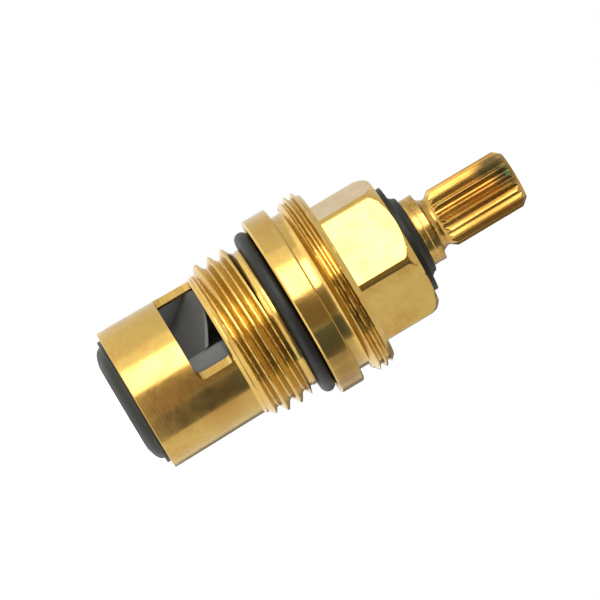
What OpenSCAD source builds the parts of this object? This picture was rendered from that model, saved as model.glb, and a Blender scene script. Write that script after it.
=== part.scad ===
// Quarter-turn ceramic disc tap cartridge with a brass body, standing on its base seal.
// The axis is +Z, and the two water windows face +Y and -Y.
// Threads are modelled at their outside diameter.

/* [Body] */
// Outside diameter of the lower pipe thread (G 1/2)
body_thread_d = 20.955; // [20:0.005:22]
// Length of the lower thread with its lead-in
body_thread_len = 6.55; // [5.7:0.05:9]
// Outside diameter of the lower tube where it meets the thread
tube_d = 18.4; // [18.2:0.05:18.6]
// How much wider the tube is at its open end
tube_flare = 0.42; // [0.02:0.02:0.6]
// Bore of the lower chamber
chamber_d = 16.6; // [16.2:0.1:16.8]
// Height of the two water windows
window_h = 4.9; // [4.4:0.1:6]
// Distance of a window's floor from the axis
window_floor = 5.6; // [4.8:0.05:6.4]
// Fillet between a window's floor and its end walls
window_fillet = 0.8; // [0.2:0.1:1.2]
// Diameter of the relief groove above the lower thread
relief_d = 18.6; // [18.3:0.1:18.7]
// Length of the relief groove
relief_len = 0.3; // [0.2:0.05:1.2]
// Diameter of the seat that carries the body O-ring
seat_d = 18.5; // [18:0.1:18.5]
// Diameter of the narrow land between relief groove and O-ring
land_d = 18.8; // [18.6:0.1:19.4]
// Length of that land
land_len = 0.5; // [0.2:0.1:1]
// Diameter of the flange
flange_d = 24.06; // [23.6:0.02:28]
// Height of the flange
flange_h = 3.25; // [2:0.05:5]
// Bevel on the flange's edges
flange_bevel = 0.2; // [0.1:0.05:0.6]
// Diameter of the neck between flange and shroud thread
neck_d = 21.3; // [20.4:0.1:22]
// Length of that neck
neck_len = 1.5; // [0.8:0.05:3]
// Outside diameter of the shroud thread (M24 x 1)
shroud_thread_d = 24; // [23:0.1:26]
// Length of the shroud thread with its lead-in
shroud_thread_len = 3.1; // [2.4:0.1:6]
// Height of the low step in front of the lower thread
thread_step_h = 0.45; // [0.3:0.05:0.8]
// Length of the lead-in chamfer behind that step
thread_lead = 1.07; // [0.6:0.01:1.6]
// Length of the lower thread's run-out beside the relief groove
thread_runout = 0.4; // [0.2:0.1:0.8]
// Chamfer at both ends of the shroud thread
shroud_lead = 0.8; // [0.3:0.1:1]
// Hexagon width across flats
hex_af = 17; // [16:0.5:19]
// Diameter that the hexagon's corners are turned to
hex_corner_d = 19.24; // [18.4:0.02:21]
// Height of the hexagon
hex_h = 7.95; // [5:0.05:14]
// Height of the steep lower part of the chamfer on the hexagon's corners
hex_chamfer_h = 0.84; // [0.4:0.02:1.4]
// Height of that chamfer's upper part, up to the top face
hex_bevel_h = 0.66; // [0.3:0.02:1]
// Diameter where the two parts of the chamfer meet
hex_bevel_d = 18.4; // [17.8:0.1:18.8]
// Turn of the hexagon against the windows, in degrees
hex_turn = -6.8; // [-30:0.1:30]

/* [Spindle] */
// Diameter of the spindle's journal and collar
spindle_d = 8.9; // [8.5:0.05:9.3]
// Radial running play of the spindle in its bore
bearing_play = 0.05; // [0.02:0.01:0.1]
// Height of the collar above the retaining clip
collar_h = 1.75; // [1:0.05:3]
// Height of the cone between collar and neck
collar_cone_h = 0.4; // [0.2:0.05:1]
// Diameter of the plain neck below the spline
stem_d = 6.4; // [6:0.05:6.7]
// Length of the plain neck
stem_len = 0.75; // [0.5:0.05:3]
// Outside diameter of the handle spline
spline_d = 7.7; // [7.4:0.05:8.5]
// Length of the handle spline
spline_len = 10.95; // [8:0.05:16]
// Number of spline teeth
spline_teeth = 20; // [16:1:24]
// Direction of one spline tooth, in degrees from +X
spline_turn = 15.5; // [0:0.1:18]
// Depth of the spline teeth
spline_depth = 0.45; // [0.3:0.05:0.5]
// Share of the tooth spacing that the crest of a tooth takes
spline_crest = 0.1; // [0.08:0.02:0.4]
// Share of the tooth spacing that the bottom of a groove takes
spline_root = 0.18; // [0.08:0.02:0.3]
// Length of the chamfer at the lower end of the spline
spline_lead_h = 0.9; // [0.4:0.1:2]
// Length of the chamfer at the tip
tip_chamfer_h = 0.9; // [0.4:0.1:2]
// Depth of the chamfer at the tip
tip_chamfer = 0.75; // [0.5:0.05:1.2]
// Drilled diameter of the handle screw hole (M5 tapping size)
screw_d = 4.2; // [3.3:0.1:4.4]
// Depth of the handle screw hole
screw_depth = 9; // [6:0.5:12]
// Turn from open to closed, in degrees
turn_angle = 90; // [60:1:100]
// Free angle left at each stop, in degrees
stop_play = 0.5; // [0.2:0.1:2]
// Arc of each stop rib inside the body, in degrees
rib_arc = 40; // [25:1:50]
// Diameter of the spindle's foot
foot_d = 12; // [11.4:0.1:12.6]
// Height of the spindle's foot and its stop wings
foot_h = 3; // [2:0.1:5]
// Width of the tang that turns the driver
tang_w = 8; // [6:0.1:9]
// Thickness of the tang
tang_t = 3; // [2:0.1:3.6]
// Length of the tang
tang_len = 3.4; // [2:0.1:4]
// Width of the spindle's O-ring grooves
groove_w = 1.9; // [1.7:0.1:2.4]
// Height of the lower groove's middle above the chamber ceiling
groove_lower_rise = 5.5; // [4:0.1:7]
// Distance between the middles of the two grooves
groove_spacing = 4.5; // [3.5:0.1:8]

/* [Retaining clip] */
// Diameter of the clip's thin flange
clip_flange_d = 14.2; // [12:0.1:16]
// Thickness of that flange
clip_flange_t = 0.74; // [0.3:0.02:0.9]
// Diameter of the clip's hub at its foot
clip_hub_d = 11.4; // [10.8:0.1:12]
// Diameter of the hub where it rounds off
clip_hub_top_d = 10.3; // [9.6:0.1:10.6]
// Height of the whole clip
clip_h = 1.8; // [1.3:0.01:2.5]
// Radius that rounds the hub's upper edge
clip_round = 0.4; // [0.1:0.05:0.45]
// Diameter of the spindle groove that the clip snaps into
clip_groove_d = 7; // [6.4:0.1:7.6]
// Width of the slot that lets the clip snap on
clip_slot_w = 6.2; // [5:0.1:6.3]
// Direction of that slot, in degrees from +X
clip_slot_angle = 135; // [0:5:355]

/* [Discs and driver] */
// Thickness of each ceramic disc
disc_t = 2.4; // [1.8:0.1:3.5]
// Arc of the disc ports, in degrees
port_arc = 76; // [50:1:84]
// Inner radius of the ports
port_r_in = 2.4; // [1.8:0.1:3]
// Outer radius of the ports
port_r_out = 6.4; // [5.5:0.1:6.6]
// Film gap between sliding flat faces
film = 0.02; // [0.01:0.01:0.05]
// Radial gap between turning pieces and the chamber wall
chamber_gap = 0.25; // [0.15:0.05:0.4]
// Width of the ears and lugs that key the discs
key_w = 3; // [2:0.1:4]
// Depth of the keyways cut in the tube's bore
keyway_depth = 0.45; // [0.3:0.05:0.6]
// Height of the driver's lugs in the moving disc
lug_h = 1.2; // [0.8:0.1:1.6]
// Side clearance of keys, lugs and tang
key_play = 0.05; // [0.02:0.01:0.15]
// Distance of the driver's two pillars from the middle of the window that each one stands in
pillar_x = 4.2; // [4.1:0.1:4.8]
// Rise of the scoops' ramp for each millimetre outwards
ramp_slope = 0.84; // [0.8:0.02:1]
// Direction of the ramps from the middle of their windows, in degrees
ramp_skew = -18; // [-20:1:-10]
// Thickness of the ramp at its outer rim
ramp_rim_t = 0.3; // [0.2:0.05:0.6]
// Where the scoop below each ramp ends at its far wall, from the middle of the window
scoop_end_x = 6.6; // [6.2:0.1:7.2]
// Where the pocket above each ramp ends, from the middle of the window
pocket_end_x = 1; // [0:0.1:2]
// Depth of the bevel on the pillars' corners
pillar_bevel = 0.35; // [0.2:0.05:0.6]
// Direction of the driver's lugs from the X axis, in degrees
lug_angle = -28; // [-32:1:-20]
// Height of the driver above the windows' upper edge
driver_cap_h = 0.8; // [0.7:0.1:2]
// Wall beside the tang's slot
driver_wall = 1.1; // [0.6:0.1:1.4]
// Thickness of the thrust washer
washer_t = 0.8; // [0.5:0.1:1.5]

/* [Seals] */
// Diameter of the base seal's end face
seal_face_d = 9.8; // [9.6:0.1:12]
// Diameter of the base seal's shoulder
seal_shoulder_d = 15.5; // [14.8:0.1:16]
// Height of the domed nose below the shoulder
seal_nose_h = 1.25; // [0.8:0.05:2.5]
// Diameter of the thin lip that stops the seal against the tube
seal_lip_d = 16.9; // [16.85:0.05:17.8]
// Thickness of that lip
seal_lip_t = 0.47; // [0.3:0.01:1]
// How far the seal reaches into the tube
seal_depth = 2.96; // [2.6:0.01:5]
// Bore of the base seal
seal_bore_d = 8.8; // [8:0.1:9.2]
// Radial width of the support ring inside the seal
support_w = 1.6; // [1:0.1:2]
// Height of the support ring
support_h = 1.7; // [1:0.1:2]
// Section of the body O-ring
body_ring_t = 1.85; // [1.5:0.05:2.4]
// Section of the spindle O-rings
spindle_ring_t = 1.5; // [1.2:0.05:1.6]
// Gap between the spindle O-rings and the bore
ring_gap = 0.03; // [0.02:0.01:0.06]

/* [Hidden] */
$fn = 96;
// Overshoot of a cutter past the face that it cuts
cut = 1;

// Radii
tube_r = tube_d / 2;
tube_end_r = tube_r + tube_flare / 2;
chamber_r = chamber_d / 2;
thread_r = body_thread_d / 2;
seat_r = seat_d / 2;
flange_r = flange_d / 2;
shroud_r = shroud_thread_d / 2;
hex_corner_r = hex_corner_d / 2;
spindle_r = spindle_d / 2;
bore_r = spindle_r + bearing_play;
foot_r = foot_d / 2;
driver_r = chamber_r - chamber_gap;
spline_r = spline_d / 2;
spline_root_r = spline_r - spline_depth;
groove_r = bore_r - ring_gap - spindle_ring_t;

// Heights, stacked up from the base seal's face
tube_z = seal_nose_h + seal_lip_t;
fixed_z = tube_z + seal_depth;
moving_z = fixed_z + disc_t + film;
driver_z = moving_z + disc_t;
window_sill = 0.08;
window_z = driver_z + window_sill;
window_top_z = window_z + window_h;
foot_z = window_top_z + driver_cap_h;
foot_top_z = foot_z + foot_h;
ceiling_z = foot_top_z + film + washer_t;
thread_z = window_top_z;
thread_top_z = thread_z + body_thread_len;
land_z = thread_top_z + relief_len;
seat_z = land_z + land_len;
flange_z = seat_z + body_ring_t;
flange_top_z = flange_z + flange_h;
shroud_z = flange_top_z + neck_len;
hex_z = shroud_z + shroud_thread_len;
hex_top_z = hex_z + hex_h;
collar_z = hex_top_z + film + clip_h;
collar_top_z = collar_z + collar_h;
stem_z = collar_top_z + collar_cone_h;
spline_z = stem_z + stem_len;
tip_z = spline_z + spline_len;
ring_lower_z = ceiling_z + groove_lower_rise;
ring_upper_z = ring_lower_z + groove_spacing;

// Stops: the wings sweep the room that the ribs leave
wing_arc = 180 - rib_arc - turn_angle - 2 * stop_play;
rib_angle = wing_arc / 2 + stop_play + rib_arc / 2;

// Driver: the ramp meets the rim at the windows' upper edge
core_half_t = tang_t / 2 + driver_wall;
pocket_slope = 0.92 * ramp_slope;
function ramp_z(rho) = window_top_z + (rho - driver_r) * ramp_slope;
function pocket_z(rho) = window_top_z + ramp_rim_t + (rho - driver_r) * pocket_slope;
ramp_foot = driver_r - (window_top_z - driver_z) / ramp_slope;

// Colours
BRASS = "#d9b25c";
RUBBER = "#1d2226";
CLIP_BLACK = "#2b2e2b";
DRIVER_GREY = "#55565a";
CERAMIC = "#f1efe8";
ACETAL = "#e9e4d4";

// Sector of a ring, centred on an angle
module ring_sector(r_in, r_out, arc, angle, z0, z1) {
  translate([0, 0, z0])
    rotate([0, 0, angle - arc / 2])
      rotate_extrude(angle = arc)
        translate([r_in, 0])
          square([r_out - r_in, z1 - z0]);
}

// Two sectors opposite each other
module opposite_sectors(r_in, r_out, arc, angle, z0, z1) {
  for (half_turn = [0, 180])
    ring_sector(r_in, r_out, arc, angle + half_turn, z0, z1);
}

// Plain ring with a rectangular section
module flat_ring(r_in, r_out, z0, z1) {
  rotate_extrude()
    translate([r_in, z0])
      square([r_out - r_in, z1 - z0]);
}

// O-ring around the axis
module o_ring(inner_r, section, z) {
  rotate_extrude()
    translate([inner_r + section / 2, z])
      circle(d = section, $fn = 48);
}

// Turned outside of the body, from the tube's open end to the shroud thread
module body_turned() {
  end_edge = 0.2;
  rotate_extrude()
    polygon([
      [0, tube_z],
      [tube_end_r - end_edge, tube_z],
      [tube_end_r, tube_z + end_edge],
      [tube_r, thread_z],
      [land_d / 2, thread_z + (land_d - tube_d) / 2],
      [land_d / 2, thread_z + thread_step_h],
      [thread_r, thread_z + thread_step_h + thread_lead],
      [thread_r, thread_top_z - thread_runout],
      [relief_d / 2, thread_top_z],
      [relief_d / 2, land_z],
      [land_d / 2, land_z],
      [land_d / 2, seat_z],
      [seat_r, seat_z],
      [seat_r, flange_z],
      [flange_r - flange_bevel, flange_z],
      [flange_r, flange_z + flange_bevel],
      [flange_r, flange_top_z - flange_bevel],
      [flange_r - flange_bevel, flange_top_z],
      [neck_d / 2, flange_top_z],
      [neck_d / 2, shroud_z],
      [shroud_r - shroud_lead, shroud_z],
      [shroud_r, shroud_z + shroud_lead],
      [shroud_r, hex_z - shroud_lead],
      [shroud_r - shroud_lead, hex_z],
      [0, hex_z]
    ]);
}

// Spanner hexagon with turned corners and a chamfered top
module body_hexagon() {
  intersection() {
    rotate_extrude()
      polygon([
        [0, hex_z - shroud_lead],
        [hex_corner_r, hex_z - shroud_lead],
        [hex_corner_r, hex_top_z - hex_bevel_h - hex_chamfer_h],
        [hex_bevel_d / 2, hex_top_z - hex_bevel_h],
        [hex_af / 2, hex_top_z],
        [0, hex_top_z]
      ]);
    translate([0, 0, hex_z - shroud_lead])
      rotate([0, 0, hex_turn + 30])
        cylinder(h = hex_h + shroud_lead, r = hex_af / 2 / cos(30), $fn = 6);
  }
}

// Cutter for one water window, straight across the tube on the +Y side
module window_cutter() {
  depth = thread_r + cut - window_floor;
  translate([-thread_r - cut, window_floor, window_z])
    rotate([90, 0, 90])
      linear_extrude(2 * (thread_r + cut))
        union() {
          translate([window_fillet, 0])
            square([depth - window_fillet, window_h]);
          translate([0, window_fillet])
            square([depth, window_h - 2 * window_fillet]);
          for (y = [window_fillet, window_h - window_fillet])
            translate([window_fillet, y])
              circle(r = window_fillet, $fn = 32);
        }
}

// Brass body: tube with windows, two threads, flange and hexagon in one turned piece
module headwork_body() {
  color(BRASS) {
    difference() {
      union() {
        body_turned();
        body_hexagon();
      }
      translate([0, 0, tube_z - cut])
        cylinder(h = ceiling_z - tube_z + cut, r = chamber_r);
      translate([0, 0, tube_z])
        cylinder(h = hex_top_z - tube_z + cut, r = bore_r);
      for (side = [0, 180])
        rotate([0, 0, side])
          window_cutter();
      for (side = [0, 180])
        rotate([0, 0, side])
          translate([0, -key_w / 2 - key_play, tube_z - cut])
            cube([chamber_r + keyway_depth, key_w + 2 * key_play, moving_z - tube_z + cut]);
    }
    opposite_sectors(foot_r + chamber_gap, chamber_r + keyway_depth, rib_arc, rib_angle,
                     foot_z + chamber_gap, ceiling_z + keyway_depth);
  }
}

// Rubber ring that seals under the flange
module body_o_ring() {
  color(RUBBER)
    o_ring(seat_r, body_ring_t, flange_z - body_ring_t / 2);
}

// Turned parts of the spindle below the spline, with the grooves for its O-rings and clip
module spindle_turned() {
  mark = 0.12;
  mark_z = (collar_z + collar_top_z) / 2;
  low = ring_lower_z - groove_w / 2;
  high = ring_upper_z - groove_w / 2;
  rotate_extrude()
    polygon([
      [0, foot_z + foot_h / 2],
      [spindle_r, foot_z + foot_h / 2],
      [spindle_r, low],
      [groove_r, low],
      [groove_r, low + groove_w],
      [spindle_r, low + groove_w],
      [spindle_r, high],
      [groove_r, high],
      [groove_r, high + groove_w],
      [spindle_r, high + groove_w],
      [spindle_r, hex_top_z],
      [clip_groove_d / 2, hex_top_z],
      [clip_groove_d / 2, collar_z],
      [spindle_r, collar_z],
      [spindle_r, mark_z - mark],
      [spindle_r - mark, mark_z],
      [spindle_r, mark_z + mark],
      [spindle_r, collar_top_z],
      [stem_d / 2, stem_z],
      [stem_d / 2, spline_z],
      [0, spline_z]
    ]);
}

// Outline of the spindle's foot: a disc with two stop wings along X
module foot_outline() {
  reach = 2 * driver_r;
  circle(r = foot_r);
  intersection() {
    circle(r = driver_r);
    for (side = [-1, 1])
      polygon([
        [0, 0],
        [side * reach * cos(wing_arc / 2), -reach * sin(wing_arc / 2)],
        [side * reach * cos(wing_arc / 2), reach * sin(wing_arc / 2)]
      ]);
  }
}

// Handle spline: pointed serration teeth around the stem, chamfered at both ends
module handle_spline() {
  pitch = 360 / spline_teeth;
  half_crest = pitch * spline_crest / 2;
  half_root = pitch * (1 - spline_root) / 2;
  lead_r = stem_d / 2 - film;
  intersection() {
    translate([0, 0, spline_z])
      linear_extrude(spline_len)
        polygon([
          for (tooth = [0 : spline_teeth - 1], corner = [-half_root, -half_crest, half_crest, half_root])
            let (angle = spline_turn + tooth * pitch + corner,
                 r = abs(corner) == half_root ? spline_root_r : spline_r)
              [r * cos(angle), r * sin(angle)]
        ]);
    rotate_extrude()
      polygon([
        [0, spline_z],
        [lead_r, spline_z],
        [lead_r + 2 * (spline_r - lead_r), spline_z + 2 * spline_lead_h],
        [spline_r + tip_chamfer, tip_z - 2 * tip_chamfer_h],
        [spline_r - tip_chamfer, tip_z],
        [0, tip_z]
      ]);
  }
}

// Brass spindle: spline, collar, journal, foot with stop wings, and the tang that turns the driver
module spindle() {
  color(BRASS)
    difference() {
      union() {
        spindle_turned();
        handle_spline();
        translate([0, 0, foot_z])
          linear_extrude(foot_h)
            foot_outline();
        translate([-tang_w / 2, -tang_t / 2, foot_z - tang_len])
          cube([tang_w, tang_t, tang_len + foot_h / 2]);
      }
      translate([0, 0, tip_z - screw_depth])
        cylinder(h = screw_depth + cut, d = screw_d);
    }
}

// Stem seals in the spindle's grooves
module spindle_o_ring_upper() {
  color(RUBBER)
    o_ring(groove_r, spindle_ring_t, ring_upper_z);
}

module spindle_o_ring_lower() {
  color(RUBBER)
    o_ring(groove_r, spindle_ring_t, ring_lower_z);
}

// Split clip that snaps round the spindle above the hexagon
module retaining_clip() {
  base_z = hex_top_z + film;
  top_r = clip_hub_top_d / 2;
  color(CLIP_BLACK)
    difference() {
      rotate_extrude() {
        polygon([
          [clip_groove_d / 2, base_z],
          [clip_flange_d / 2, base_z],
          [clip_flange_d / 2, base_z + clip_flange_t],
          [clip_hub_d / 2, base_z + clip_flange_t],
          [top_r, collar_z - clip_round],
          [top_r - clip_round, collar_z],
          [clip_groove_d / 2, collar_z]
        ]);
        translate([top_r - clip_round, collar_z - clip_round])
          circle(r = clip_round, $fn = 32);
      }
      rotate([0, 0, clip_slot_angle])
        translate([0, -clip_slot_w / 2, base_z - cut])
          cube([clip_flange_d, clip_slot_w, clip_h + 2 * cut]);
    }
}

// Slip washer between the spindle's foot and the chamber ceiling
module thrust_washer() {
  color(ACETAL)
    flat_ring(bore_r + key_play, foot_r, ceiling_z - washer_t, ceiling_z);
}

// Outline of what one scoop removes below its ramp, on the +Y side
module scoop_outline() {
  polygon([
    [ramp_foot - 2 * cut / ramp_slope, driver_z - 2 * cut],
    [driver_r + 4 * cut, driver_z - 2 * cut],
    [driver_r + 4 * cut, ramp_z(driver_r + 4 * cut)]
  ]);
}

// Outline of the pocket cored out above one ramp, on the +Y side
module pocket_outline() {
  polygon([
    [0, pocket_z(0)],
    [driver_r + 4 * cut, pocket_z(driver_r + 4 * cut)],
    [driver_r + 4 * cut, foot_z + 4 * cut],
    [0, foot_z + 4 * cut]
  ]);
}

// Room beside a pillar up to an end in X and from a start in Y, filled under or over the skewed ramp
module beside_pillar(x_end, y_start) {
  reach = 4 * driver_r;
  intersection() {
    translate([-pillar_x, y_start, driver_z - cut])
      cube([pillar_x + x_end, driver_r + cut - y_start, foot_z - driver_z + 2 * cut]);
    rotate([0, 0, ramp_skew])
      translate([-reach / 2, 0, 0])
        rotate([90, 0, 90])
          linear_extrude(reach)
            children();
  }
}

// Bevel on a pillar's corner, which leaves the ramp beside it whole
module pillar_bevel_cutter() {
  edge_y = sqrt(pow(driver_r, 2) - pow(pillar_x, 2));
  translate([-pillar_x, edge_y, driver_z - cut])
    linear_extrude(foot_z - driver_z + 2 * cut)
      polygon([
        [0, -pillar_bevel],
        [-cut, cut / 5 - pillar_bevel],
        [-cut, cut],
        [0, cut]
      ]);
}

// Place of the driver's two lugs: a block from inside the pillars to the driver's rim
module lugs(play, z0, z1) {
  for (side = [0, 180])
    rotate([0, 0, lug_angle + side])
      translate([pillar_x + key_w / 2 - play, -key_w / 2 - play, z0])
        cube([key_w, key_w + 2 * play, z1 - z0]);
}

// Moulded driver: slot for the tang, two ramped scoops that turn the water out, and two lugs
module disc_driver() {
  color(DRIVER_GREY) {
    difference() {
      translate([0, 0, driver_z])
        cylinder(h = foot_z - driver_z, r = driver_r);
      for (side = [0, 180])
        rotate([0, 0, side]) {
          beside_pillar(scoop_end_x, -driver_r)
            scoop_outline();
          beside_pillar(pocket_end_x, core_half_t)
            pocket_outline();
          pillar_bevel_cutter();
        }
      translate([-tang_w / 2 - key_play, -tang_t / 2 - key_play, foot_z - tang_len - key_play])
        cube([tang_w + 2 * key_play, tang_t + 2 * key_play, tang_len + cut]);
    }
    intersection() {
      lugs(-key_play, driver_z - lug_h + film, driver_z + driver_cap_h);
      translate([0, 0, driver_z - lug_h])
        cylinder(h = 2 * lug_h, r = driver_r);
    }
  }
}

// Ceramic disc with two sector ports facing +Y and -Y
module ported_disc(r, z) {
  difference() {
    translate([0, 0, z])
      cylinder(h = disc_t, r = r);
    opposite_sectors(port_r_in, port_r_out, port_arc, 90, z - cut, z + disc_t + cut);
  }
}

// Upper disc, notched for the driver's lugs
module moving_disc() {
  color(CERAMIC)
    difference() {
      ported_disc(driver_r, moving_z);
      lugs(0, driver_z - lug_h, driver_z + cut);
    }
}

// Lower disc, with two ears in the tube's keyways
module fixed_disc() {
  ear_r = chamber_r + keyway_depth - key_play;
  color(CERAMIC) {
    ported_disc(chamber_r - key_play, fixed_z);
    for (side = [0, 180])
      rotate([0, 0, side])
        translate([port_r_out, -key_w / 2, fixed_z])
          cube([ear_r - port_r_out, key_w, disc_t]);
  }
}

// Rubber seal that presses on the valve seat, with a groove for its support ring
module base_seal() {
  bore = seal_bore_d / 2;
  face_r = seal_face_d / 2;
  ring_z = tube_z + (seal_depth - support_h) / 2;
  color(RUBBER)
    rotate_extrude()
      polygon([
        [bore, 0],
        for (angle = [0 : 15 : 90])
          [face_r + (seal_shoulder_d / 2 - face_r) * sin(angle), seal_nose_h * (1 - cos(angle))],
        [seal_lip_d / 2, seal_nose_h],
        [seal_lip_d / 2, tube_z],
        [chamber_r, tube_z],
        [chamber_r, fixed_z],
        [bore, fixed_z],
        [bore, ring_z + support_h],
        [bore + support_w, ring_z + support_h],
        [bore + support_w, ring_z],
        [bore, ring_z]
      ]);
}

// Hard ring that keeps the base seal from collapsing into its bore
module seal_support_ring() {
  bore = seal_bore_d / 2;
  ring_z = tube_z + (seal_depth - support_h) / 2;
  color(ACETAL)
    flat_ring(bore, bore + support_w, ring_z, ring_z + support_h);
}

headwork_body();
body_o_ring();
spindle();
spindle_o_ring_upper();
spindle_o_ring_lower();
retaining_clip();
thrust_washer();
disc_driver();
moving_disc();
fixed_disc();
base_seal();
seal_support_ring();
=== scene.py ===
import math

import bmesh
import bpy
from mathutils import Matrix, Vector


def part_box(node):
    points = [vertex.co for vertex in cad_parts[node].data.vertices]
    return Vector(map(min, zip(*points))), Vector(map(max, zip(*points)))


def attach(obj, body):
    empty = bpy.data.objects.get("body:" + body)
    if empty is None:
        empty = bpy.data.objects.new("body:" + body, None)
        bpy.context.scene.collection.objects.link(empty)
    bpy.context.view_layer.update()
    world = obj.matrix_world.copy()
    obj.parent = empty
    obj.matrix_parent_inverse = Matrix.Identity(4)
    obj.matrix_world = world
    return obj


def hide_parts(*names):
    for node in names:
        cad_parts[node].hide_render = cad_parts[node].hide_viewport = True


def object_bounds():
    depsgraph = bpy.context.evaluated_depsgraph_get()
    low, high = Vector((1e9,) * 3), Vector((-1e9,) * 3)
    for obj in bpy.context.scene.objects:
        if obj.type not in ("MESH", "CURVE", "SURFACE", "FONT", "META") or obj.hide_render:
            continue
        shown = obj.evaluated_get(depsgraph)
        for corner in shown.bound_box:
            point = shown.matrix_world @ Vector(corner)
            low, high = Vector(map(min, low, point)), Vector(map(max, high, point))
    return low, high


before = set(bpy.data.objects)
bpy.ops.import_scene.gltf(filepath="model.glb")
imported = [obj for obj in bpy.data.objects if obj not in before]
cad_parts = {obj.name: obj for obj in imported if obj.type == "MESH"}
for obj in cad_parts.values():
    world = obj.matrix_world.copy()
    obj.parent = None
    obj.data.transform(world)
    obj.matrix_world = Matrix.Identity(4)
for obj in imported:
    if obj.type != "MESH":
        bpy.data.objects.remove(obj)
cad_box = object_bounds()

# Headwork body
# One piece of free-cutting brass bar, turned and milled on a lathe: an open tube with two water windows,
# a pipe thread, a flange, a fine thread for the shroud and a spanner hexagon.
# Sizes are in millimetres and turns in degrees, unless a comment says otherwise.
MM = 0.001


def mm_box(node_name):
    """Lowest and highest corner of a CAD node, in millimetres."""
    low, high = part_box(node_name)
    return low / MM, high / MM


body_low, body_high = mm_box("headwork_body")
flange_ring_low, flange_ring_high = mm_box("body_o_ring")
washer_low, washer_high = mm_box("thrust_washer")
driver_high = mm_box("disc_driver")[1]
fixed_disc_high = mm_box("fixed_disc")[1]

# Direction of the camera from the axis, 40 degrees from the middle of the front window
VIEW_ANGLE = -50.0
UPPER_SIDE = VIEW_ANGLE - 90.0

# Tube, with the bore and the chamber inside it
TUBE_Z = body_low.z
TUBE_R = 9.2
TUBE_END_R = 9.41
EDGE = 0.12
BORE_R = 4.5
CHAMBER_R = 8.3
CEILING_Z = washer_high.z

# Keyways that hold the fixed disc, and ribs that stop the spindle, which end just above the driver
KEYWAY_TOP_Z = fixed_disc_high.z
KEYWAY_DEPTH = 0.45
KEY_W = 3.1
KEY_HALF_ANGLE = math.degrees(math.asin(KEY_W / 2 / CHAMBER_R))
FOOT_Z = driver_high.z
RIB_GAP = 0.25
RIB_Z = FOOT_Z + RIB_GAP
RIB_R = 6.25
RIB_FROM = 25.0
RIB_TO = 65.0

# Water windows, milled down to a flat floor, which start just above the driver's floor on the moving disc
DISC_FILM = 0.02
MOVING_DISC_H = 2.4
WINDOW_SILL = 0.08
WINDOW_Z = fixed_disc_high.z + DISC_FILM + MOVING_DISC_H + WINDOW_SILL
WINDOW_H = 4.9
WINDOW_FLOOR = 5.6
WINDOW_FILLET = 0.8
FILLET_STEPS = 8
CUTTER_REACH = 14.0

# Pipe thread between a step above the windows and the relief below the land
STEP_Z = WINDOW_Z + WINDOW_H
STEP_H = 0.45
PIPE_Z = STEP_Z + STEP_H
PIPE_LEAD = 1.07
PIPE_RUNOUT = 0.4
PIPE_RING_SPACING = 0.05
RELIEF_LEN = 0.3
RELIEF_R = 9.3

# Land, seat of the O-ring, flange and neck
SEAT_Z = flange_ring_low.z
SEAT_R = 9.25
LAND_LEN = 0.64
LAND_R = 9.4
LAND_Z = SEAT_Z - LAND_LEN
THREAD_TOP_Z = LAND_Z - RELIEF_LEN
FLANGE_Z = flange_ring_high.z
FLANGE_H = 3.25
FLANGE_TOP_Z = FLANGE_Z + FLANGE_H
FLANGE_R = min(body_high.x, body_high.y, -body_low.x, -body_low.y)
FLANGE_BEVEL = 0.2
NECK_LEN = 1.5
NECK_R = 10.65
NECK_FILLET = 0.12

# Shroud thread and hexagon
SHROUD_Z = FLANGE_TOP_Z + NECK_LEN
SHROUD_LEAD = 0.8
SHROUD_RING_SPACING = 0.035
HEX_TOP_Z = body_high.z
HEX_H = 7.95
HEX_Z = HEX_TOP_Z - HEX_H
HEX_TURN = -6.8
HEX_SIDES = 6
HEX_STEP = 360.0 / HEX_SIDES
HEX_FLAT_R = 8.5
HEX_CORNER_R = 9.62
HEX_TOP_INSET = 0.02
HEX_TOP_R = HEX_FLAT_R - HEX_TOP_INSET
HEX_BEVEL_R = 9.2
HEX_BEVEL_H = 0.66
HEX_CHAMFER_H = 0.84
FLAT_STEPS = 36
CORNER_STEPS = 4

# Half the width of the nearly upright wall at a sudden step round a piece
STEP_SLIVER = 0.02


def mesh_object(name, points, faces):
    """A new object in the scene, with its points in metres."""
    mesh = bpy.data.meshes.new(name)
    mesh.from_pydata(points, [], faces)
    mesh.validate()
    piece = bpy.data.objects.new(name, mesh)
    bpy.context.scene.collection.objects.link(piece)
    return piece


def lathe(name, rings, angles, loop=True):
    """A mesh of rings round the Z axis, closed to a loop or by two end faces.

    A ring is a radius and a height, or a function of the angle that gives both.
    """
    points = []
    for ring in rings:
        for angle in angles:
            radius, height = ring(angle) if callable(ring) else ring
            turn = math.radians(angle)
            points.append((radius * math.cos(turn) * MM, radius * math.sin(turn) * MM, height * MM))
    count = len(angles)
    faces = []
    for i in range(len(rings) if loop else len(rings) - 1):
        j = (i + 1) % len(rings)
        for k in range(count):
            m = (k + 1) % count
            faces.append((i * count + k, i * count + m, j * count + m, j * count + k))
    if not loop:
        faces.append(tuple(reversed(range(count))))
        faces.append(tuple(range((len(rings) - 1) * count, len(rings) * count)))
    return mesh_object(name, points, faces)


def soften(points, radius):
    """The same outline with each inner corner rounded off, over at most two fifths of a side."""
    out = [points[0]]
    for before, here, after in zip(points, points[1:], points[2:]):
        a, b, c = Vector(before), Vector(here), Vector(after)
        reach = min(radius, 0.4 * (a - b).length, 0.4 * (c - b).length)
        p = b + (a - b).normalized() * reach
        q = b + (c - b).normalized() * reach
        out += [tuple(p), tuple(0.25 * p + 0.5 * b + 0.25 * q), tuple(q)]
    out.append(points[-1])
    return out


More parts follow.
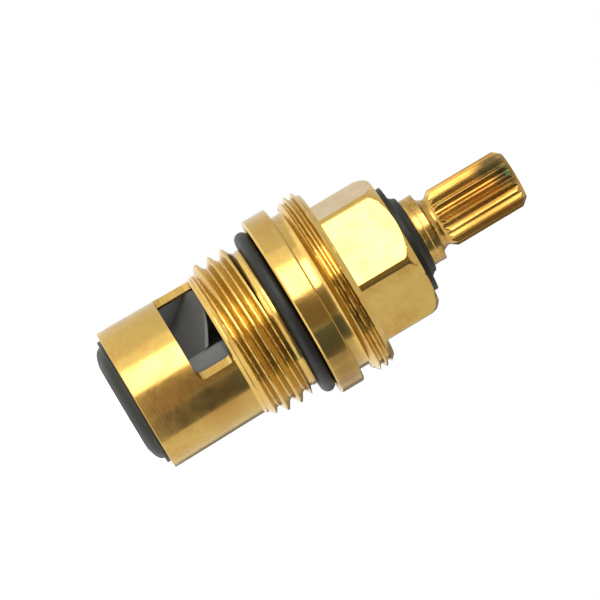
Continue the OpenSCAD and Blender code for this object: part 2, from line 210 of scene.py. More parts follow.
# A thread is its pitch, the radius of its crests, its depth, half the width of a crest's flat as a share of
# the pitch, and the height of one crest on the photograph's upper side.
PIPE_THREAD = {"pitch": 1.814, "crest_r": 10.4775, "depth": 1.04, "flat": 0.06, "crest_z": 16.26}
SHROUD_THREAD = {"pitch": 1.0, "crest_r": 12.0, "depth": 0.6, "flat": 0.07, "crest_z": 29.65}
FLANK_ROUNDING = 0.4


def flank_fall(share, rounding):
    """How far a tooth's side has fallen at a share of its run, with rounded ends."""
    share = min(max(share, 0.0), 1.0)
    return (1.0 - rounding) * share + rounding * share * share * (3.0 - 2.0 * share)


def thread_ring(height, limit_r, pitch, crest_r, depth, flat, crest_z):
    """Ring of a right-hand thread, nowhere wider than the limit."""
    def place(angle):
        along = (height - crest_z) / pitch - (angle - UPPER_SIDE) / 360.0
        from_crest = abs(along - round(along))
        fall = flank_fall((from_crest - flat) / (0.5 - 2.0 * flat), FLANK_ROUNDING)
        return min(crest_r - depth * fall, limit_r), height
    return place


def thread_rings(lower, upper, spacing, form):
    """Rings of a thread. Each end is given as height, radius there and length of its chamfer."""
    (z0, r0, lead0), (z1, r1, lead1) = lower, upper
    crest_r = form["crest_r"]
    count = math.ceil((z1 - z0) / spacing)
    rings = []
    for i in range(1, count):
        height = z0 + (z1 - z0) * i / count
        limit = min(r0 + (height - z0) * (crest_r - r0) / lead0, r1 + (z1 - height) * (crest_r - r1) / lead1)
        rings.append(thread_ring(height, limit, **form))
    return rings


def hex_radius(angle):
    """Distance of the hexagon's side from the axis, with its corners turned down."""
    off_flat = (angle - HEX_TURN + HEX_STEP / 2) % HEX_STEP - HEX_STEP / 2
    return min(HEX_FLAT_R / math.cos(math.radians(off_flat)), HEX_CORNER_R)


def hex_side(angle):
    """Foot of the hexagon's side."""
    return hex_radius(angle), HEX_Z


def hex_bevel(angle):
    """Lower edge of the shallow bevel on the hexagon's top."""
    radius = min(hex_radius(angle), HEX_BEVEL_R)
    return radius, HEX_TOP_Z - HEX_BEVEL_H * (radius - HEX_FLAT_R) / (HEX_BEVEL_R - HEX_FLAT_R)


def hex_chamfer(angle):
    """Lower edge of the steeper chamfer that follows the bevel at the corners."""
    radius = hex_radius(angle)
    if radius < HEX_BEVEL_R:
        return hex_bevel(angle)
    steep = HEX_CHAMFER_H * (radius - HEX_BEVEL_R) / (HEX_CORNER_R - HEX_BEVEL_R)
    return radius, HEX_TOP_Z - HEX_BEVEL_H - steep


def keyed_chamber(height):
    """Chamber wall with the two keyways that hold the fixed disc."""
    def place(angle):
        off_x = (angle + 90.0) % 180.0 - 90.0
        return CHAMBER_R + (KEYWAY_DEPTH if abs(off_x) <= KEY_HALF_ANGLE else 0.0), height
    return place


def ribbed_chamber(height):
    """Chamber wall with the two ribs that stop the spindle after a quarter turn."""
    def place(angle):
        return (RIB_R if RIB_FROM <= angle % 180.0 <= RIB_TO else CHAMBER_R), height
    return place


def step_angles(edges):
    """Two angles close together at each edge, on both halves of the turn."""
    return [half_turn + edge + side * STEP_SLIVER
            for half_turn in (0.0, 180.0) for edge in edges for side in (-1, 1)]


def body_angles():
    """Angles of the body's rings, with one at each edge of the hexagon, the keyways and the stop ribs."""
    corner = math.degrees(math.acos(HEX_FLAT_R / HEX_CORNER_R))
    angles = step_angles((-KEY_HALF_ANGLE, KEY_HALF_ANGLE, RIB_FROM, RIB_TO))
    for flat in range(HEX_SIDES):
        middle = HEX_TURN + flat * HEX_STEP
        for i in range(FLAT_STEPS + 1):
            angles.append(middle + corner * (2.0 * i / FLAT_STEPS - 1.0))
        for i in range(1, CORNER_STEPS):
            angles.append(middle + corner + (HEX_STEP - 2.0 * corner) * i / CORNER_STEPS)
    return sorted(angle % 360.0 for angle in angles)


SHROUD_END_R = SHROUD_THREAD["crest_r"] - SHROUD_LEAD
tube_outline = soften([(CHAMBER_R, TUBE_Z), (TUBE_END_R, TUBE_Z), (TUBE_R, STEP_Z),
                       (LAND_R, STEP_Z + LAND_R - TUBE_R), (LAND_R, PIPE_Z)], EDGE)
pipe_thread = thread_rings((PIPE_Z, LAND_R, PIPE_LEAD), (THREAD_TOP_Z, RELIEF_R, PIPE_RUNOUT),
                           PIPE_RING_SPACING, PIPE_THREAD)
flange_outline = soften([(RELIEF_R, THREAD_TOP_Z), (RELIEF_R, LAND_Z), (LAND_R, LAND_Z), (LAND_R, SEAT_Z),
                         (SEAT_R, SEAT_Z), (SEAT_R, FLANGE_Z), (FLANGE_R - FLANGE_BEVEL, FLANGE_Z),
                         (FLANGE_R, FLANGE_Z + FLANGE_BEVEL), (FLANGE_R, FLANGE_TOP_Z - FLANGE_BEVEL),
                         (FLANGE_R - FLANGE_BEVEL, FLANGE_TOP_Z), (NECK_R, FLANGE_TOP_Z)], EDGE)
neck_outline = soften([(FLANGE_R - FLANGE_BEVEL, FLANGE_TOP_Z), (NECK_R, FLANGE_TOP_Z), (NECK_R, SHROUD_Z),
                       (SHROUD_END_R, SHROUD_Z)], NECK_FILLET)
shroud_thread = thread_rings((SHROUD_Z, SHROUD_END_R, SHROUD_LEAD), (HEX_Z, SHROUD_END_R, SHROUD_LEAD),
                             SHROUD_RING_SPACING, SHROUD_THREAD)
hexagon = [(SHROUD_END_R, HEX_Z), hex_side, hex_chamfer, hex_bevel, (HEX_TOP_R, HEX_TOP_Z)]
bore_and_chamber = [(BORE_R + EDGE, HEX_TOP_Z), (BORE_R, HEX_TOP_Z - EDGE), (BORE_R, CEILING_Z),
                    ribbed_chamber(CEILING_Z), ribbed_chamber(RIB_Z), (CHAMBER_R, RIB_Z),
                    (CHAMBER_R, KEYWAY_TOP_Z), keyed_chamber(KEYWAY_TOP_Z), keyed_chamber(TUBE_Z)]
body_rings = (tube_outline + pipe_thread + flange_outline[:-1] + neck_outline[1:] + shroud_thread + hexagon
              + bore_and_chamber)
body = lathe("turned_body", body_rings, body_angles())


def prism_across_x(name, outline, half_length):
    """Solid with an outline in the Y-Z plane, running across X."""
    count = len(outline)
    points = [(side * half_length * MM, y * MM, z * MM) for side in (-1, 1) for y, z in outline]
    faces = [tuple(reversed(range(count))), tuple(range(count, 2 * count))]
    faces += [(i, (i + 1) % count, count + (i + 1) % count, count + i) for i in range(count)]
    prism = mesh_object(name, points, faces)
    solid = bmesh.new()
    solid.from_mesh(prism.data)
    bmesh.ops.recalc_face_normals(solid, faces=solid.faces)
    solid.to_mesh(prism.data)
    solid.free()
    return prism


def window_outline(side):
    """Outline of one milled window, with a fillet from the cutter along both inner corners."""
    outline = [(side * CUTTER_REACH, WINDOW_Z), (side * CUTTER_REACH, WINDOW_Z + WINDOW_H)]
    for centre_z, start in ((WINDOW_Z + WINDOW_H - WINDOW_FILLET, 90.0), (WINDOW_Z + WINDOW_FILLET, 180.0)):
        for i in range(FILLET_STEPS + 1):
            turn = math.radians(start + 90.0 * i / FILLET_STEPS)
            outline.append((side * (WINDOW_FLOOR + WINDOW_FILLET + WINDOW_FILLET * math.cos(turn)),
                            centre_z + WINDOW_FILLET * math.sin(turn)))
    return outline


def cut_away(piece, cutter):
    """Cuts the cutter out of the piece and leaves one plain mesh."""
    step = piece.modifiers.new("cut", "BOOLEAN")
    step.operation = "DIFFERENCE"
    step.solver = "EXACT"
    step.object = cutter
    bpy.context.view_layer.update()
    evaluated = piece.evaluated_get(bpy.context.evaluated_depsgraph_get())
    result = bpy.data.meshes.new_from_object(evaluated)
    piece.modifiers.clear()
    piece.data = result
    bpy.data.objects.remove(cutter)


for side in (-1, 1):
    cut_away(body, prism_across_x("window_cutter", window_outline(side), CUTTER_REACH))

SHARP_ANGLE = 38.0


def shade(piece):
    """Smooth shading that keeps real edges sharp and flat faces flat."""
    piece.data.shade_smooth()
    piece.data.set_sharp_from_angle(angle=math.radians(SHARP_ANGLE))
    steady = piece.modifiers.new("flat_faces_stay_flat", "WEIGHTED_NORMAL")
    steady.keep_sharp = True


shade(body)


def linear(hex_code):
    """Linear colour of an sRGB hex value."""
    parts = [int(hex_code[i:i + 2], 16) / 255.0 for i in (1, 3, 5)]
    return tuple(c / 12.92 if c <= 0.04045 else ((c + 0.055) / 1.055) ** 2.4 for c in parts) + (1.0,)


def add(tree, kind, inputs=None, **settings):
    """A node with its settings, whose inputs are values or the sockets that feed them."""
    made = tree.nodes.new(kind)
    for key, value in settings.items():
        setattr(made, key, value)
    for socket, value in (inputs or {}).items():
        if isinstance(value, bpy.types.NodeSocket):
            tree.links.new(value, made.inputs[socket])
        else:
            made.inputs[socket].default_value = value
    return made


def new_material(name):
    """An empty node material with its output."""
    material = bpy.data.materials.new(name)
    material.use_nodes = True
    tree = material.node_tree
    tree.nodes.clear()
    return material, tree, add(tree, "ShaderNodeOutputMaterial")


def per_metre(size_mm):
    """Texture scale for a pattern of that size, in a frame of metres."""
    return 1.0 / (size_mm * MM)


def from_view(angle):
    """Level direction from the axis, turned from the camera towards the photograph's upper side."""
    turn = math.radians(VIEW_ANGLE - angle)
    return Vector((math.cos(turn), math.sin(turn), 0.0))


def on_side(radius, angle, height):
    """Point of a round piece, in millimetres, at that angle from the camera."""
    return from_view(angle) * radius + Vector((0.0, 0.0, height))


# A film covers a spot nearly fully in its middle, and fades out between these shares of its radius
FILM_COVER = 0.9
FILM_FULL = 0.8
FILM_GONE = 1.7


def spot_mask(tree, place, ragged, spots):
    """How far a film covers the metal: most inside its spots and nought elsewhere, with ragged edges.

    A spot is its centre and its radius in millimetres.
    """
    mask = 0.0
    for centre, radius in spots:
        away = add(tree, "ShaderNodeVectorMath", {0: place, 1: centre * MM}, operation="DISTANCE")
        edge = add(tree, "ShaderNodeMath", {0: ragged, 1: radius * MM, 2: away.outputs["Value"]},
                   operation="MULTIPLY_ADD")
        inside = add(tree, "ShaderNodeMapRange", {
            "Value": edge.outputs[0], "To Min": FILM_COVER, "To Max": 0.0,
            "From Min": FILM_FULL * radius * MM, "From Max": FILM_GONE * radius * MM})
        mask = add(tree, "ShaderNodeMath", {0: mask, 1: inside.outputs[0]}, operation="MAXIMUM").outputs[0]
    return mask


# Sizes of the tarnish's clouds, of its speckle, and of the small dents of handling
TARNISH_MM = 4.0
SPECKLE_MM = 0.45
DENT_MM = 1.1
DENT_DEPTH = 0.008
LATHE_MARK_DEPTH = 0.002


def brass(name, colour, stain, roughness, lathe_mark_mm, films=(), dull_bands=()):
    """Bare turned brass: a warm metal with fine lathe rings, blurred by a thin, uneven tarnish.

    A film is its colour, how much it dulls the metal, and its spots. A dull band is its lowest and highest
    height and how much duller the metal is there.
    """
    material, tree, output = new_material(name)
    place = add(tree, "ShaderNodeTexCoord").outputs["Object"]
    axial = add(tree, "ShaderNodeSeparateXYZ", {"Vector": place}).outputs["Z"]
    along = add(tree, "ShaderNodeMath", {0: axial, 1: per_metre(lathe_mark_mm)},
                operation="MULTIPLY").outputs[0]
    rings = add(tree, "ShaderNodeTexNoise", {"W": along, "Scale": 1.0, "Detail": 3.0, "Roughness": 0.7},
                noise_dimensions="1D").outputs[0]
    cloud = add(tree, "ShaderNodeTexNoise", {
        "Vector": place, "Scale": per_metre(TARNISH_MM), "Detail": 8.0, "Roughness": 0.7}).outputs[0]
    patch = add(tree, "ShaderNodeMapRange", {
        "Value": cloud, "From Min": 0.44, "From Max": 0.68, "To Min": 0.0, "To Max": 1.0}).outputs[0]
    fine = add(tree, "ShaderNodeTexNoise", {
        "Vector": place, "Scale": per_metre(SPECKLE_MM), "Detail": 5.0, "Roughness": 0.65}).outputs[0]
    speckle = add(tree, "ShaderNodeMapRange", {
        "Value": fine, "From Min": 0.46, "From Max": 0.72, "To Min": 0.0, "To Max": 0.4}).outputs[0]
    stained = add(tree, "ShaderNodeMath", {0: patch, 1: speckle}, operation="ADD", use_clamp=True).outputs[0]
    tint = add(tree, "ShaderNodeMix", {"Factor": stained, "A": linear(colour), "B": linear(stain)},
               data_type="RGBA").outputs["Result"]
    spread = add(tree, "ShaderNodeMapRange", {
        "Value": cloud, "From Min": 0.3, "From Max": 0.7,
        "To Min": roughness - 0.05, "To Max": roughness + 0.08}).outputs[0]
    for low_z, high_z, dulling in dull_bands:
        in_band = add(tree, "ShaderNodeMath", {
            0: axial, 1: 0.5 * (low_z + high_z) * MM, 2: 0.5 * (high_z - low_z) * MM},
            operation="COMPARE").outputs[0]
        spread = add(tree, "ShaderNodeMath", {0: in_band, 1: dulling, 2: spread},
                     operation="MULTIPLY_ADD").outputs[0]
    for film_colour, dulling, spots in films:
        film = spot_mask(tree, place, cloud, spots)
        tint = add(tree, "ShaderNodeMix", {"Factor": film, "A": tint, "B": linear(film_colour)},
                   data_type="RGBA").outputs["Result"]
        spread = add(tree, "ShaderNodeMath", {0: film, 1: dulling, 2: spread},
                     operation="MULTIPLY_ADD").outputs[0]
    dents = add(tree, "ShaderNodeTexNoise", {
        "Vector": place, "Scale": per_metre(DENT_MM), "Detail": 4.0}).outputs[0]
    dented = add(tree, "ShaderNodeBump", {"Height": dents, "Strength": 1.0, "Distance": DENT_DEPTH * MM})
    relief = add(tree, "ShaderNodeBump", {
        "Height": rings, "Strength": 1.0, "Distance": LATHE_MARK_DEPTH * MM,
        "Normal": dented.outputs["Normal"]})
    metal = add(tree, "ShaderNodeBsdfPrincipled", {
        "Base Color": tint, "Metallic": 1.0, "Roughness": spread, "Normal": relief.outputs["Normal"]})
    tree.links.new(metal.outputs[0], output.inputs["Surface"])
    return material


# Marks of a lathe tool lie about 0.1 mm apart. They are drawn coarser, or they would not show.
BODY_LATHE_MARK = 0.25
THREAD_DULLING = 0.06
FLANGE_MIDDLE_Z = 0.5 * (FLANGE_Z + FLANGE_TOP_Z)
coppery_film = ("#b08446", 0.02, [(on_side(TUBE_R, -18.0, 5.0), 4.6), (on_side(TUBE_R, -34.0, 10.5), 4.2)])
brown_film = ("#94733c", 0.06, [(on_side(FLANGE_R, angle, FLANGE_MIDDLE_Z), 2.7)
                                for angle in (-42.0, -53.0, -64.0)])
turned_brass = brass("turned_brass", colour="#c7a85d", stain="#bd954d", roughness=0.17,
                     lathe_mark_mm=BODY_LATHE_MARK, films=(coppery_film, brown_film),
                     dull_bands=[(PIPE_Z, THREAD_TOP_Z, THREAD_DULLING)])
body.data.materials.clear()
body.data.materials.append(turned_brass)
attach(body, "housing")
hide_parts("headwork_body")

# Body O-ring
# A nitrile rubber ring of round section, moulded in two halves and stretched over the seat under the flange.
# It is matte black with a soft, wide sheen.
O_RING_SECTION = flange_ring_high.z - flange_ring_low.z
SECTION_STEPS = 40
EVEN_ANGLES = [i * 2.0 for i in range(180)]

# The bloom is the dull film that rubber sweats out. The grain is drawn coarser than a mould leaves it.
BLOOM_MM = 3.0
RUBBER_GRAIN_DEPTH = 0.02


def darker(hex_code, share):
    """Linear colour of a hex value with only a share of its light."""
    return tuple(share * c for c in linear(hex_code)[:3]) + (1.0,)


def rubber(name, colour, roughness, grain_mm, ior):
    """Moulded nitrile rubber: a dull black with a bloom of fine grain that spreads its highlights."""
    material, tree, output = new_material(name)
    place = add(tree, "ShaderNodeTexCoord").outputs["Object"]
    grain = add(tree, "ShaderNodeTexNoise", {
        "Vector": place, "Scale": per_metre(grain_mm), "Detail": 4.0, "Roughness": 0.6}).outputs[0]
    bloom = add(tree, "ShaderNodeTexNoise", {
        "Vector": place, "Scale": per_metre(BLOOM_MM), "Detail": 3.0}).outputs[0]
    spread = add(tree, "ShaderNodeMapRange", {
        "Value": bloom, "From Min": 0.3, "From Max": 0.7,
        "To Min": roughness - 0.08, "To Max": roughness + 0.08}).outputs[0]
    tint = add(tree, "ShaderNodeMix", {"Factor": bloom, "A": darker(colour, 0.6), "B": linear(colour)},
               data_type="RGBA").outputs["Result"]
    relief = add(tree, "ShaderNodeBump", {
        "Height": grain, "Strength": 0.5, "Distance": RUBBER_GRAIN_DEPTH * MM})
    skin = add(tree, "ShaderNodeBsdfPrincipled", {
        "Base Color": tint, "Roughness": spread, "IOR": ior, "Normal": relief.outputs["Normal"]})
    tree.links.new(skin.outputs[0], output.inputs["Surface"])
    return material


def o_ring_section(inner_r, section, height):
    """Round section of an O-ring as a loop of rings."""
    centre_r = inner_r + section / 2
    rings = []
    for i in range(SECTION_STEPS):
        turn = 2.0 * math.pi * i / SECTION_STEPS
        rings.append((centre_r + section / 2 * math.cos(turn), height + section / 2 * math.sin(turn)))
    return rings


nitrile = rubber("moulded_nitrile_rubber", colour="#0b0c0b", roughness=0.5, grain_mm=0.12, ior=1.42)
flange_ring = lathe("flange_o_ring",
                    o_ring_section(SEAT_R, O_RING_SECTION, SEAT_Z + O_RING_SECTION / 2), EVEN_ANGLES)
flange_ring.data.shade_smooth()
flange_ring.data.materials.append(nitrile)
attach(flange_ring, "housing")
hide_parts("body_o_ring")

# Fixed and moving disc
# Two discs of pressed and fired alumina whose meeting faces are lapped flat and polished, so that they seal
# against each other without grease. White, dense and slightly glossy.
ALUMINA_MOTTLE_MM = 0.8


def fired_alumina(name):
    """Fired alumina: an opaque off-white with a faint mottle and a polished surface."""
    material, tree, output = new_material(name)
    place = add(tree, "ShaderNodeTexCoord").outputs["Object"]
    mottle = add(tree, "ShaderNodeTexNoise", {
        "Vector": place, "Scale": per_metre(ALUMINA_MOTTLE_MM), "Detail": 4.0}).outputs[0]
    tint = add(tree, "ShaderNodeMix", {"Factor": mottle, "A": linear("#e6e2d8"), "B": linear("#f4f2ec")},
               data_type="RGBA").outputs["Result"]
    ceramic = add(tree, "ShaderNodeBsdfPrincipled", {"Base Color": tint, "Roughness": 0.22, "IOR": 1.76})
    tree.links.new(ceramic.outputs[0], output.inputs["Surface"])
    return material


def dress(node_name, material):
    """Gives a CAD node its finish."""
    node_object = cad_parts[node_name]
    node_object.data.materials.clear()
    node_object.data.materials.append(material)
    return node_object


alumina = fired_alumina("lapped_alumina")
dress("fixed_disc", alumina)
dress("moving_disc", alumina)

# Disc driver
# A driver injection-moulded in dark grey acetal. The spindle's tang turns it, its lugs turn the moving disc,
# and its two ramps throw the water out of the windows.
DRIVER_EDGE = 0.12
MOULDED_EDGE_ANGLE = 30.0

# Streaks from the flow of the melt, and the spark-eroded skin of the mould
FLOW_MM = 2.0
MOULD_SKIN_MM = 0.1
MOULD_SKIN_DEPTH = 0.008


def moulded_acetal(name, colour, roughness, ior=1.48):
    """Moulded acetal: an even, slightly waxy plastic with the faint flow and texture of its mould."""
    material, tree, output = new_material(name)
    place = add(tree, "ShaderNodeTexCoord").outputs["Object"]
    flow = add(tree, "ShaderNodeTexNoise", {
        "Vector": place, "Scale": per_metre(FLOW_MM), "Detail": 4.0}).outputs[0]
    skin = add(tree, "ShaderNodeTexNoise", {
        "Vector": place, "Scale": per_metre(MOULD_SKIN_MM), "Detail": 2.0}).outputs[0]
    tint = add(tree, "ShaderNodeMix", {"Factor": flow, "A": darker(colour, 0.75), "B": linear(colour)},
               data_type="RGBA").outputs["Result"]
    relief = add(tree, "ShaderNodeBump", {"Height": skin, "Strength": 0.4, "Distance": MOULD_SKIN_DEPTH * MM})
    plastic = add(tree, "ShaderNodeBsdfPrincipled", {
        "Base Color": tint, "Roughness": roughness, "IOR": ior, "Normal": relief.outputs["Normal"]})
    tree.links.new(plastic.outputs[0], output.inputs["Surface"])
    return material


def break_edges(node_object, width_mm):
    """Small rounded edges, as moulding leaves them."""
    rounding = node_object.modifiers.new("moulded_edges", "BEVEL")
    rounding.width = width_mm * MM
    rounding.segments = 2
    rounding.limit_method = "ANGLE"
    rounding.angle_limit = math.radians(MOULDED_EDGE_ANGLE)
    rounding.harden_normals = False


driver = dress("disc_driver", moulded_acetal("dark_grey_acetal", colour="#454543", roughness=0.62))
break_edges(driver, DRIVER_EDGE)

# Base seal and its support ring
# A moulded rubber bush pressed into the tube's open end. Its domed nose stands out to press on the valve
# seat, and a hard acetal ring inside keeps it from collapsing.
seal_high = mm_box("base_seal")[1]
support_low, support_high = mm_box("seal_support_ring")
SEAL_BORE_R = 4.4
SEAL_FACE_R = 4.9
SEAL_SHOULDER_R = 7.75
SEAL_NOSE_H = 1.25
SEAL_EDGE = 0.15
NOSE_STEP = 9
nose = [(SEAL_FACE_R + (SEAL_SHOULDER_R - SEAL_FACE_R) * math.sin(math.radians(turn)),
         SEAL_NOSE_H * (1.0 - math.cos(math.radians(turn)))) for turn in range(0, 91, NOSE_STEP)]
seal_outline = soften([(SEAL_BORE_R, support_low.z), (SEAL_BORE_R, 0.0)] + nose + [
    (seal_high.x, SEAL_NOSE_H), (seal_high.x, TUBE_Z), (CHAMBER_R, TUBE_Z), (CHAMBER_R, seal_high.z),
    (SEAL_BORE_R, seal_high.z), (SEAL_BORE_R, support_high.z), (support_high.x, support_high.z),
    (support_high.x, support_low.z)], SEAL_EDGE)
base_seal = lathe("moulded_base_seal", seal_outline, EVEN_ANGLES)
shade(base_seal)
seal_rubber = rubber("base_seal_rubber", colour="#1f2018", roughness=0.48, grain_mm=0.15, ior=1.46)
base_seal.data.materials.append(seal_rubber)
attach(base_seal, "housing")
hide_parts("base_seal")
natural_acetal = moulded_acetal("natural_acetal", colour="#e6e0d0", roughness=0.4)
dress("seal_support_ring", natural_acetal)

# Spindle, with its seals and thrust washer
# Turned from brass bar with a rolled handle spline, two O-ring grooves, a groove for the clip, a foot with
# stop wings and a milled tang. The end of the spline is drilled and tapped for the handle's screw.
spindle_low, spindle_high = mm_box("spindle")
upper_ring_low, upper_ring_high = mm_box("spindle_o_ring_upper")
lower_ring_low, lower_ring_high = mm_box("spindle_o_ring_lower")

# Tang and foot, which runs close under the thrust washer
TANG_W = 8.0
TANG_T = 3.0
FOOT_R = 6.0
FOOT_PLAY = 0.02
FOOT_TOP_Z = washer_low.z - FOOT_PLAY
WING_R = spindle_high.x
WING_HALF_ANGLE = 24.5

# Journal with the grooves of the seals and of the clip
SPINDLE_R = 4.45
SPINDLE_EDGE = 0.12
STEM_SEAL_GROOVE_R = 2.97
STEM_SEAL_GROOVE_MARGIN = 0.2
CLIP_GROOVE_R = 3.5

# Collar with a shallow turned line round it, and the waist above it
COLLAR_Z = mm_box("retaining_clip")[1].z
COLLAR_H = 1.75
COLLAR_TOP_Z = COLLAR_Z + COLLAR_H
COLLAR_LINE_Z = COLLAR_Z + COLLAR_H / 2
COLLAR_LINE_HALF = 0.12
COLLAR_LINE_DEPTH = 0.05
SHOULDER_H = 0.14
SHOULDER_Z = COLLAR_TOP_Z + SHOULDER_H
WAIST_R = 3.58
WAIST_H = 0.7
WAIST_Z = SHOULDER_Z + WAIST_H
WAIST_FILLET = 0.25
STEM_R = 3.2

# Handle spline. The crest and the side of a tooth are shares of the spline's pitch.
TIP_Z = spindle_high.z
TIP_R = 3.1
TIP_CHAMFER_H = 0.9
SPLINE_R = 3.85
SPLINE_DEPTH = 0.45
SPLINE_LEN = 10.95
SPLINE_Z = TIP_Z - SPLINE_LEN
SPLINE_LEAD_R = 3.18
SPLINE_LEAD_H = 0.9
SPLINE_TEETH = 20
SPLINE_PITCH = 360.0 / SPLINE_TEETH
SPLINE_TURN = 15.5
TOOTH_CREST = 0.05
TOOTH_SIDE = 0.36
TOOTH_ROUNDING = 0.2

# Tapped hole for the handle's screw: its mouth, its thread below that, and the cone that the drill leaves
SCREW_R = 2.1
SCREW_DEPTH = 9.0
SCREW_MOUTH = 0.4
SCREW_THREAD_FROM = 0.5
SCREW_THREAD_LEN = 7.0
SCREW_THREAD_STEPS = 90
SCREW_THREAD_END = 7.6
DRILL_POINT_H = 1.2
DRILL_POINT_R = 0.1
M5_DEPTH = 0.35
M5_THREAD = {"pitch": 0.8, "crest_r": SCREW_R + M5_DEPTH, "depth": M5_DEPTH, "flat": 0.08, "crest_z": TIP_Z}


def spline_radius(angle):
    """Radius of the spline: pointed serration teeth with rounded crests and roots."""
    turns = (angle - SPLINE_TURN) / SPLINE_PITCH
    off_crest = abs(turns - round(turns))
    return SPLINE_R - SPLINE_DEPTH * flank_fall((off_crest - TOOTH_CREST) / TOOTH_SIDE, TOOTH_ROUNDING)


def spline_foot(angle):
    """Where the spline starts, above its lower chamfer."""
    radius = spline_radius(angle)
    return radius, SPLINE_Z + SPLINE_LEAD_H * (radius - SPLINE_LEAD_R) / (SPLINE_R - SPLINE_LEAD_R)


def spline_head(angle):
    """Where the spline ends, below its upper chamfer."""
    radius = spline_radius(angle)
    return radius, TIP_Z - TIP_CHAMFER_H * (radius - TIP_R) / (SPLINE_R - TIP_R)


def foot_ring(height):
    """The foot, a disc with two wings that meet the stops."""
    def place(angle):
        off_x = (angle + 90.0) % 180.0 - 90.0
        return (WING_R if abs(off_x) <= WING_HALF_ANGLE else FOOT_R), height
    return place


def tang_ring(height):
    """The milled tang, a flat tongue along X."""
    def place(angle):
        turn = math.radians(angle)
        across = abs(math.cos(turn)) / (TANG_W / 2)
        through = abs(math.sin(turn)) / (TANG_T / 2)
        return 1.0 / max(across, through), height
    return place


def spindle_angles():
    """Angles of the spindle's rings, with some at every tooth edge, wing edge and tang corner."""
    one_side = (0.05, 0.08, 0.12, 0.2, 0.3, 0.38, 0.41, 0.45)
    shares = (0.0,) + one_side + tuple(-share for share in one_side)
    angles = [SPLINE_TURN + (tooth + share) * SPLINE_PITCH
              for tooth in range(SPLINE_TEETH) for share in shares]
    angles += step_angles((-WING_HALF_ANGLE, WING_HALF_ANGLE))
    tang_corner = math.degrees(math.atan2(TANG_T, TANG_W))
    for half_turn in (0.0, 180.0):
        angles += [half_turn - tang_corner, half_turn + tang_corner]
    return sorted(angle % 360.0 for angle in angles)


def seal_groove(low, high):
    """Groove in the journal that holds a stem seal."""
    z0 = low.z - STEM_SEAL_GROOVE_MARGIN
    z1 = high.z + STEM_SEAL_GROOVE_MARGIN
    return [(SPINDLE_R, z0), (STEM_SEAL_GROOVE_R, z0), (STEM_SEAL_GROOVE_R, z1), (SPINDLE_R, z1)]


tang_and_foot = [tang_ring(spindle_low.z), tang_ring(FOOT_Z), foot_ring(FOOT_Z), foot_ring(FOOT_TOP_Z)]
journal_outline = soften(
    [(FOOT_R, FOOT_TOP_Z), (SPINDLE_R, FOOT_TOP_Z)]
    + seal_groove(lower_ring_low, lower_ring_high)
    + seal_groove(upper_ring_low, upper_ring_high)
    + [(SPINDLE_R, HEX_TOP_Z), (CLIP_GROOVE_R, HEX_TOP_Z), (CLIP_GROOVE_R, COLLAR_Z), (SPINDLE_R, COLLAR_Z),
       (SPINDLE_R, COLLAR_LINE_Z - COLLAR_LINE_HALF), (SPINDLE_R - COLLAR_LINE_DEPTH, COLLAR_LINE_Z),
       (SPINDLE_R, COLLAR_LINE_Z + COLLAR_LINE_HALF), (SPINDLE_R, COLLAR_TOP_Z)], SPINDLE_EDGE)
waist_outline = soften([(SPINDLE_R, COLLAR_TOP_Z), (WAIST_R, SHOULDER_Z), (STEM_R, WAIST_Z),
                        (STEM_R, SPLINE_Z)], WAIST_FILLET)
spline = [spline_foot, spline_head, (TIP_R, TIP_Z)]
screw_hole = [(SCREW_R + SCREW_MOUTH, TIP_Z), (SCREW_R, TIP_Z - SCREW_MOUTH)]
for i in range(1, SCREW_THREAD_STEPS):
    thread_z = TIP_Z - SCREW_THREAD_FROM - SCREW_THREAD_LEN * i / SCREW_THREAD_STEPS
    screw_hole.append(thread_ring(thread_z, SPLINE_R, **M5_THREAD))
screw_hole += [(SCREW_R, TIP_Z - SCREW_THREAD_END), (SCREW_R, TIP_Z - SCREW_DEPTH + DRILL_POINT_H),
               (DRILL_POINT_R, TIP_Z - SCREW_DEPTH)]
spindle_rings = tang_and_foot + journal_outline + waist_outline[1:] + spline + screw_hole
spindle = lathe("splined_spindle", spindle_rings, spindle_angles(), loop=False)
shade(spindle)

SPINDLE_LATHE_MARK = 0.2
# A brown film over the spline and the tip. It is partly tarnish from handling and partly a painted
# reflection: the deeper, darker orange that light takes as it bounces between the teeth.
spline_tarnish_and_painted_reflection = ("#a4722c", 0.06, [(Vector((0.0, 0.0, TIP_Z - 4.5)), 7.5)])
olive_tarnish = ("#45402a", 0.3, [(on_side(SPLINE_R, 15.0, TIP_Z - 1.1), 1.7),
                                  (on_side(SPLINE_R, 50.0, TIP_Z - 1.8), 2.3),
                                  (on_side(SPLINE_R, -3.0, TIP_Z - 0.7), 0.9),
                                  (on_side(SPLINE_R, 42.0, TIP_Z - 3.2), 1.5)])
verdigris = ("#66a066", 0.3, [(on_side(SPLINE_R, 31.0, TIP_Z - 0.75), 0.45),
                              (on_side(SPLINE_R, 13.0, TIP_Z - 0.7), 0.5),
                              (on_side(SPLINE_R, 31.0, SPLINE_Z + 1.3), 0.45),
                              (on_side(SPLINE_R, 31.0, SPLINE_Z + 1.8), 0.4)])
spindle_brass = brass("spindle_brass", colour="#c5a258", stain="#97743a", roughness=0.24,
                      lathe_mark_mm=SPINDLE_LATHE_MARK, films=(spline_tarnish_and_painted_reflection, olive_tarnish, verdigris))
spindle.data.materials.append(spindle_brass)
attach(spindle, "spindle_group")
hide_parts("spindle")
for node_name in ("spindle_o_ring_upper", "spindle_o_ring_lower"):
    dress(node_name, nitrile)
dress("thrust_washer", natural_acetal)

# Retaining clip
# A split clip moulded in black acetal. It snaps into the spindle's groove above the hexagon and keeps the
# spindle from dropping into the body.
CLIP_EDGE = 0.1
# The clip's colour is black acetal with a warm olive cast added. The cast is a painted reflection of the
# brass around it.
clip = dress("retaining_clip", moulded_acetal("black_acetal", colour="#110f06", roughness=0.52, ior=1.38))
break_edges(clip, CLIP_EDGE)

